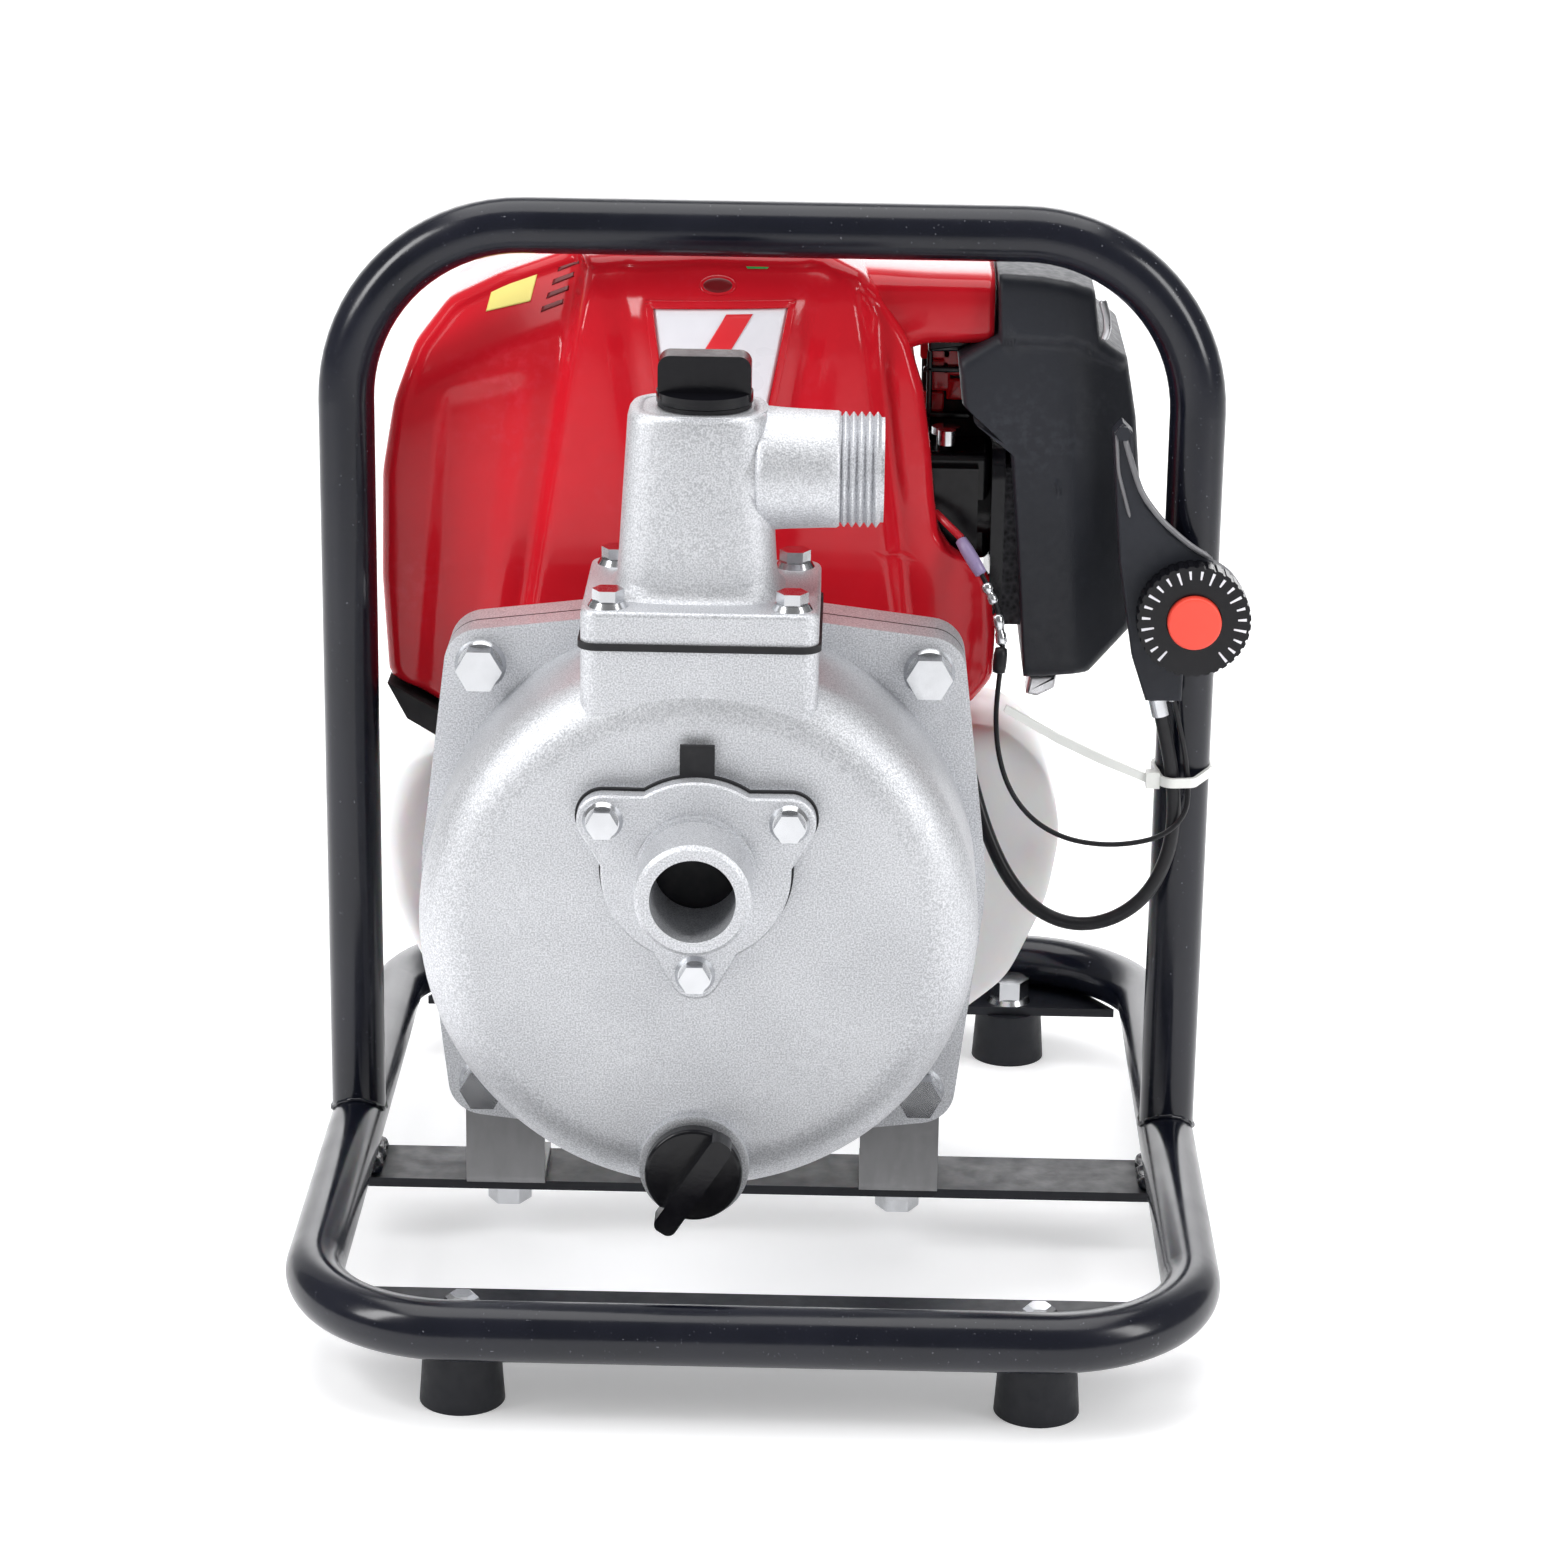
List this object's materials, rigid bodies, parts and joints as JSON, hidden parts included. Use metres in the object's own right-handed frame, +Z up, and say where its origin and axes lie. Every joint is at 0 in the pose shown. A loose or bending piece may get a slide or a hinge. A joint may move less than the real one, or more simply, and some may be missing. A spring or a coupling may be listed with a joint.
{
  "type": "portable fire pump",
  "caption": "Portable engine-driven water pump in a tubular carrying frame, with threaded side outlet, front inlet and recoil start.",
  "frame": {"origin": "on the ground at the centre of the four feet", "axes": "+Z up, -Y the pump inlet's side, +Y the recoil starter, +X towards the threaded outlet's mouth and the throttle control"},
  "size_m": [0.2835, 0.3304, 0.327],
  "materials": {
    "frame_black": "gloss",
    "cast_aluminium": "sandblasted satin",
    "zinc_steel": "bright zinc",
    "raw_steel": "satin mill",
    "engine_steel": "machined",
    "engine_casting": "satin",
    "clutch_iron": "matte",
    "feet_rubber": "matte",
    "seal_rubber": "matte",
    "black_plastic": "satin",
    "red_plastic": "gloss",
    "charcoal_plastic": "fine texture",
    "tank_plastic": "translucent",
    "orange_button": "satin",
    "cable_black": "satin",
    "nylon_white": "satin",
    "foam_grey": "open foam",
    "heat_black": "matte"
  },
  "bodies": {
    "frame": {"base_tube": "frame_black", "hoop_tube": "frame_black", "cross_bars": "frame_black", "rubber_feet": "feet_rubber", "frame_bolts": "zinc_steel", "pump_brackets": "raw_steel", "pump_casing": "cast_aluminium", "casing_gasket": "seal_rubber", "back_plate": "cast_aluminium", "casing_bolts": "zinc_steel", "outlet_gasket": "seal_rubber", "outlet_elbow": "cast_aluminium", "cover_bolts": "zinc_steel", "inlet_flange": "cast_aluminium", "inlet_gasket": "seal_rubber", "inner_volute": "black_plastic", "shaft_seal": "engine_steel", "ball_bearings": "engine_steel", "crankcase": "engine_casting", "cylinder": "engine_casting", "piston": "engine_casting", "con_rod": "engine_steel", "spark_plug": "zinc_steel", "plug_boot": "seal_rubber", "muffler": "engine_steel", "muffler_guard": "heat_black", "engine_shroud": "red_plastic", "starter_housing": "charcoal_plastic", "ignition_coil": "black_plastic", "intake_spacer": "black_plastic", "carburettor": "engine_casting", "filter_base": "black_plastic", "filter_element": "foam_grey", "filter_cover": "charcoal_plastic", "fuel_tank": "tank_plastic", "control_arm": "charcoal_plastic", "cable_ends": "zinc_steel", "throttle_cable": "cable_black", "stop_wire": "cable_black", "zip_tie": "nylon_white"},
    "priming_seal_lift": {"priming_seal": "seal_rubber"},
    "priming_cap": {"priming_plug": "black_plastic"},
    "drain_seal_lift": {"drain_seal": "seal_rubber"},
    "drain_cap": {"drain_plug": "black_plastic"},
    "fuel_seal_lift": {"cap_seal": "seal_rubber"},
    "fuel_lid": {"fuel_cap": "black_plastic"},
    "pump_rotor": {"impeller": "cast_aluminium", "pump_shaft": "engine_steel", "clutch_drum": "engine_steel"},
    "crank_rotor": {"crankshaft": "engine_steel", "flywheel": "engine_casting", "clutch_shoes": "clutch_iron"},
    "flap": {"inlet_flap": "seal_rubber"},
    "dial": {"throttle_dial": "black_plastic"},
    "button": {"stop_button": "orange_button"},
    "carb_lever": {"throttle_lever": "zinc_steel"},
    "choke": {"choke_lever": "black_plastic"},
    "bulb": {"primer_bulb": "nylon_white"},
    "pulley": {"starter_pulley": "nylon_white"},
    "pull_handle": {"starter_handle": "black_plastic"}
  },
  "joints": [
    {"name": "priming_seal_rise", "type": "slide", "parent": "frame", "child": "priming_seal_lift", "axis": [0, 0, 1], "range_m": [0, 0.0107]},
    {"name": "priming_plug_turn", "type": "hinge", "parent": "priming_seal_lift", "child": "priming_cap", "pos_m": [-0.018, -0.064, 0.279], "axis": [0, 0, 1], "range_deg": [0, 1080]},
    {"name": "drain_seal_rise", "type": "slide", "parent": "frame", "child": "drain_seal_lift", "axis": [0, -1, 0], "range_m": [0, 0.0107]},
    {"name": "drain_plug_turn", "type": "hinge", "parent": "drain_seal_lift", "child": "drain_cap", "pos_m": [-0.018, -0.1, 0.057], "axis": [0, -1, 0], "range_deg": [0, 1080]},
    {"name": "fuel_seal_rise", "type": "slide", "parent": "frame", "child": "fuel_seal_lift", "axis": [0, 1, 0], "range_m": [0, 0.0092]},
    {"name": "fuel_cap_turn", "type": "hinge", "parent": "fuel_seal_lift", "child": "fuel_lid", "pos_m": [-0.103, 0.08, 0.116], "axis": [0, 1, 0], "range_deg": [0, 720]},
    {"name": "pump_spin", "type": "hinge", "parent": "frame", "child": "pump_rotor", "pos_m": [-0.018, 0, 0.127], "axis": [0, 1, 0], "continuous": true},
    {"name": "crank_spin", "type": "hinge", "parent": "frame", "child": "crank_rotor", "pos_m": [-0.018, 0, 0.127], "axis": [0, 1, 0], "continuous": true},
    {"name": "inlet_flap_swing", "type": "hinge", "parent": "frame", "child": "flap", "pos_m": [-0.018, -0.0981, 0.1685], "axis": [1, 0, 0], "range_deg": [0, 24]},
    {"name": "throttle_dial_turn", "type": "hinge", "parent": "frame", "child": "dial", "pos_m": [0.1286, -0.02, 0.2062], "axis": [0, 1, 0], "range_deg": [0, 120]},
    {"name": "throttle_lever_swing", "type": "hinge", "parent": "frame", "child": "carb_lever", "pos_m": [0.054, 0.041, 0.248], "axis": [0, 0, -1], "range_deg": [0, 61]},
    {"name": "stop_button_press", "type": "slide", "parent": "frame", "child": "button", "axis": [0, 1, 0], "range_m": [0, 0.003], "stiffness_N_per_m": 350, "springref_m": -0.002},
    {"name": "choke_swing", "type": "hinge", "parent": "frame", "child": "choke", "pos_m": [0.068, 0.07, 0.205], "axis": [1, 0, 0], "range_deg": [0, 60]},
    {"name": "primer_bulb_press", "type": "slide", "parent": "frame", "child": "bulb", "axis": [0, 0, 1], "range_m": [0, 0.0025], "stiffness_N_per_m": 300, "springref_m": -0.002},
    {"name": "starter_pulley_spin", "type": "hinge", "parent": "frame", "child": "pulley", "pos_m": [-0.018, 0.116, 0.127], "axis": [0, 1, 0], "range_deg": [0, 1040], "stiffness_Nm_per_rad": 0.016, "springref_deg": -343.77},
    {"name": "starter_handle_pull", "type": "slide", "parent": "frame", "child": "pull_handle", "axis": [0, 0, 1], "range_m": [0, 0.6]}
  ],
  "couplings": [
    {"joint": "priming_seal_rise", "follows": "priming_plug_turn", "m_per_rad": 0.00055704},
    {"joint": "drain_seal_rise", "follows": "drain_plug_turn", "m_per_rad": 0.00055704},
    {"joint": "fuel_seal_rise", "follows": "fuel_cap_turn", "m_per_rad": 0.0007162},
    {"joint": "throttle_lever_swing", "follows": "throttle_dial_turn", "ratio": 0.5},
    {"joint": "starter_handle_pull", "follows": "starter_pulley_spin", "m_per_rad": 0.033}
  ]
}
